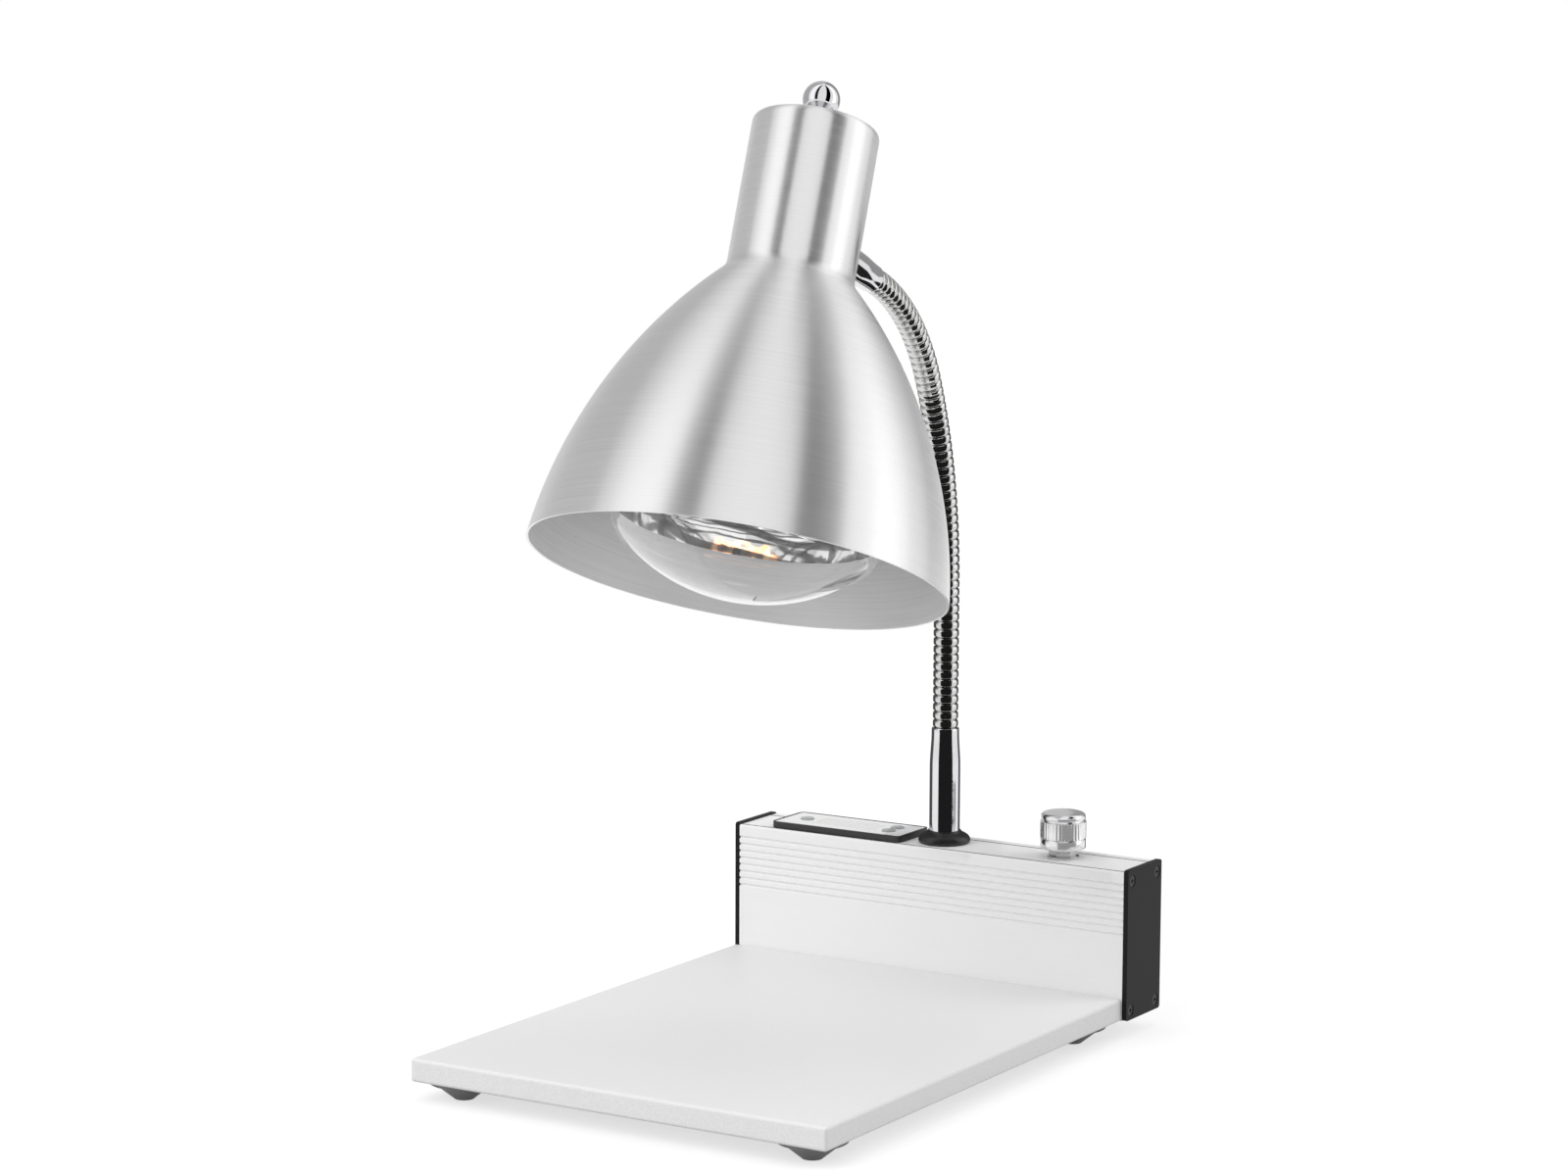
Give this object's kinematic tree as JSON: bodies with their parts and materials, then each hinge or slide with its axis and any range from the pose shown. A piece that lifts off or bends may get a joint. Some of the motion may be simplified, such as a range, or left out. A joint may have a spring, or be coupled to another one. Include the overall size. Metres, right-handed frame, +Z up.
{
  "type": "bench heat lamp",
  "caption": "Bench heat lamp: reflector bulb in a spun aluminium shade on a flexible gooseneck, standing on a control housing with dimmer knob and display behind a work board.",
  "frame": {"origin": "on the table under the middle of the footprint of board and housing", "axes": "+X to the right, +Y to the rear where the housing is, +Z up"},
  "size_m": [0.223, 0.314, 0.4609],
  "materials": {
    "board": "satin silver-grey laminate with a fine speckle",
    "foot_rubber": "matt dark grey",
    "steel": "zinc-plated",
    "black_steel": "blackened",
    "anodised": "fine matt natural anodising",
    "end_plate": "matt black",
    "bushing": "moulded black",
    "bezel": "satin black",
    "faceplate": "silver-grey foil under a clear film",
    "screen": "grey-green display behind clear plastic",
    "circuit_board": "green laminate",
    "component": "moulded",
    "button": "smooth",
    "zinc": "plated",
    "polished_aluminium": "bright turned and polished, with a fluted band",
    "copper": "enamelled copper winding",
    "capacitor": "potted",
    "heatsink": "mill finish",
    "terminal": "moulded",
    "lead": "black sheath",
    "collar_rubber": "black",
    "chrome": "bright",
    "hose": "nickel-plated spiral tube, satin",
    "spun_aluminium": "spun, with brushed rings and clear coat",
    "ceramic": "glazed white ceramic",
    "brass": "bright",
    "clear_glass": "clear front and silvered back",
    "silvering": "mirror coating inside the glass",
    "cap_metal": "bright rolled thread",
    "stem_glass": "clear stem with wire supports",
    "filament": "coiled tungsten, glowing"
  },
  "bodies": {
    "base": {"base_board": "board", "feet": "foot_rubber", "foot_screws": "steel", "housing_extrusion": "anodised", "housing_top_plate": "anodised", "end_plate_left": "end_plate", "end_plate_right": "end_plate", "end_plate_screws": "black_steel", "board_screws": "steel", "cord_bushing": "bushing", "display_bezel": "bezel", "display_faceplate": "faceplate", "display_screen": "screen", "display_board": "circuit_board", "display_switches": "component", "potentiometer_body": "zinc", "potentiometer_washer": "steel", "potentiometer_nut": "steel", "dimmer_board": "circuit_board", "dimmer_choke": "copper", "dimmer_capacitor": "capacitor", "triac_heatsink": "heatsink", "terminal_block": "terminal", "mains_lead": "lead", "gooseneck_collar": "collar_rubber", "foot_ferrule": "chrome", "foot_ferrule_fixings": "steel", "lamp_lead_lower": "lead", "gooseneck_foot_end": "hose"},
    "link_1": {"gooseneck_link_1": "hose"},
    "link_2": {"gooseneck_link_2": "hose"},
    "link_3": {"gooseneck_link_3": "hose"},
    "link_4": {"gooseneck_link_4": "hose"},
    "link_5": {"gooseneck_link_5": "hose"},
    "link_6": {"gooseneck_link_6": "hose"},
    "link_7": {"gooseneck_link_7": "hose"},
    "link_8": {"gooseneck_link_8": "hose"},
    "head": {"gooseneck_head_end": "hose", "head_ferrule": "chrome", "head_ferrule_nut": "steel", "shade": "spun_aluminium", "finial": "chrome", "holder_stud": "steel", "holder_lock_nut": "steel", "lampholder": "ceramic", "lampholder_shell": "brass", "lampholder_contact": "brass", "bulb_glass": "clear_glass", "bulb_reflector": "silvering", "bulb_cap": "cap_metal", "bulb_stem": "stem_glass", "bulb_filament": "filament", "lamp_lead_upper": "lead"},
    "knob": {"dimmer_knob": "polished_aluminium", "knob_set_screw": "black_steel", "potentiometer_shaft": "steel"},
    "button_left": {"button_left": "button"},
    "button_up": {"button_up": "button"},
    "button_down": {"button_down": "button"}
  },
  "joints": [
    {"name": "gooseneck_bend_1", "type": "hinge", "parent": "base", "child": "link_1", "pos_m": [0, 0.13675, 0.1523], "axis": [1, 0, 0], "range_deg": [-16, 8]},
    {"name": "gooseneck_sway_2", "type": "hinge", "parent": "link_1", "child": "link_2", "pos_m": [0, 0.13675, 0.181], "axis": [0, 1, 0], "range_deg": [-15, 15]},
    {"name": "gooseneck_bend_3", "type": "hinge", "parent": "link_2", "child": "link_3", "pos_m": [0, 0.13675, 0.2097], "axis": [1, 0, 0], "range_deg": [-16, 8]},
    {"name": "gooseneck_sway_4", "type": "hinge", "parent": "link_3", "child": "link_4", "pos_m": [0, 0.13552, 0.23836], "axis": [0, 0.9953, 0.097], "range_deg": [-15, 15]},
    {"name": "gooseneck_bend_5", "type": "hinge", "parent": "link_4", "child": "link_5", "pos_m": [0, 0.13117, 0.26671], "axis": [1, 0, 0], "range_deg": [-16, 8]},
    {"name": "gooseneck_sway_6", "type": "hinge", "parent": "link_5", "child": "link_6", "pos_m": [0, 0.12372, 0.29441], "axis": [0, 0.9499, 0.3126], "range_deg": [-15, 15]},
    {"name": "gooseneck_bend_7", "type": "hinge", "parent": "link_6", "child": "link_7", "pos_m": [0, 0.11311, 0.32105], "axis": [1, 0, 0], "range_deg": [-16, 8]},
    {"name": "gooseneck_sway_8", "type": "hinge", "parent": "link_7", "child": "link_8", "pos_m": [0, 0.09619, 0.34409], "axis": [0, 0.7043, 0.7099], "range_deg": [-15, 15]},
    {"name": "gooseneck_bend_9", "type": "hinge", "parent": "link_8", "child": "head", "pos_m": [0, 0.07301, 0.36083], "axis": [1, 0, 0], "range_deg": [-16, 8]},
    {"name": "knob_turn", "type": "hinge", "parent": "base", "child": "knob", "pos_m": [0.0665, 0.13675, 0.09], "axis": [0, 0, 1], "range_deg": [-135, 135]},
    {"name": "button_left_press", "type": "slide", "parent": "base", "child": "button_left", "axis": [0, 0, -1], "range_m": [0, 0.0008], "stiffness_N_per_m": 400, "springref_m": -0.0005},
    {"name": "button_up_press", "type": "slide", "parent": "base", "child": "button_up", "axis": [0, 0, -1], "range_m": [0, 0.0008], "stiffness_N_per_m": 400, "springref_m": -0.0005},
    {"name": "button_down_press", "type": "slide", "parent": "base", "child": "button_down", "axis": [0, 0, -1], "range_m": [0, 0.0008], "stiffness_N_per_m": 400, "springref_m": -0.0005}
  ]
}
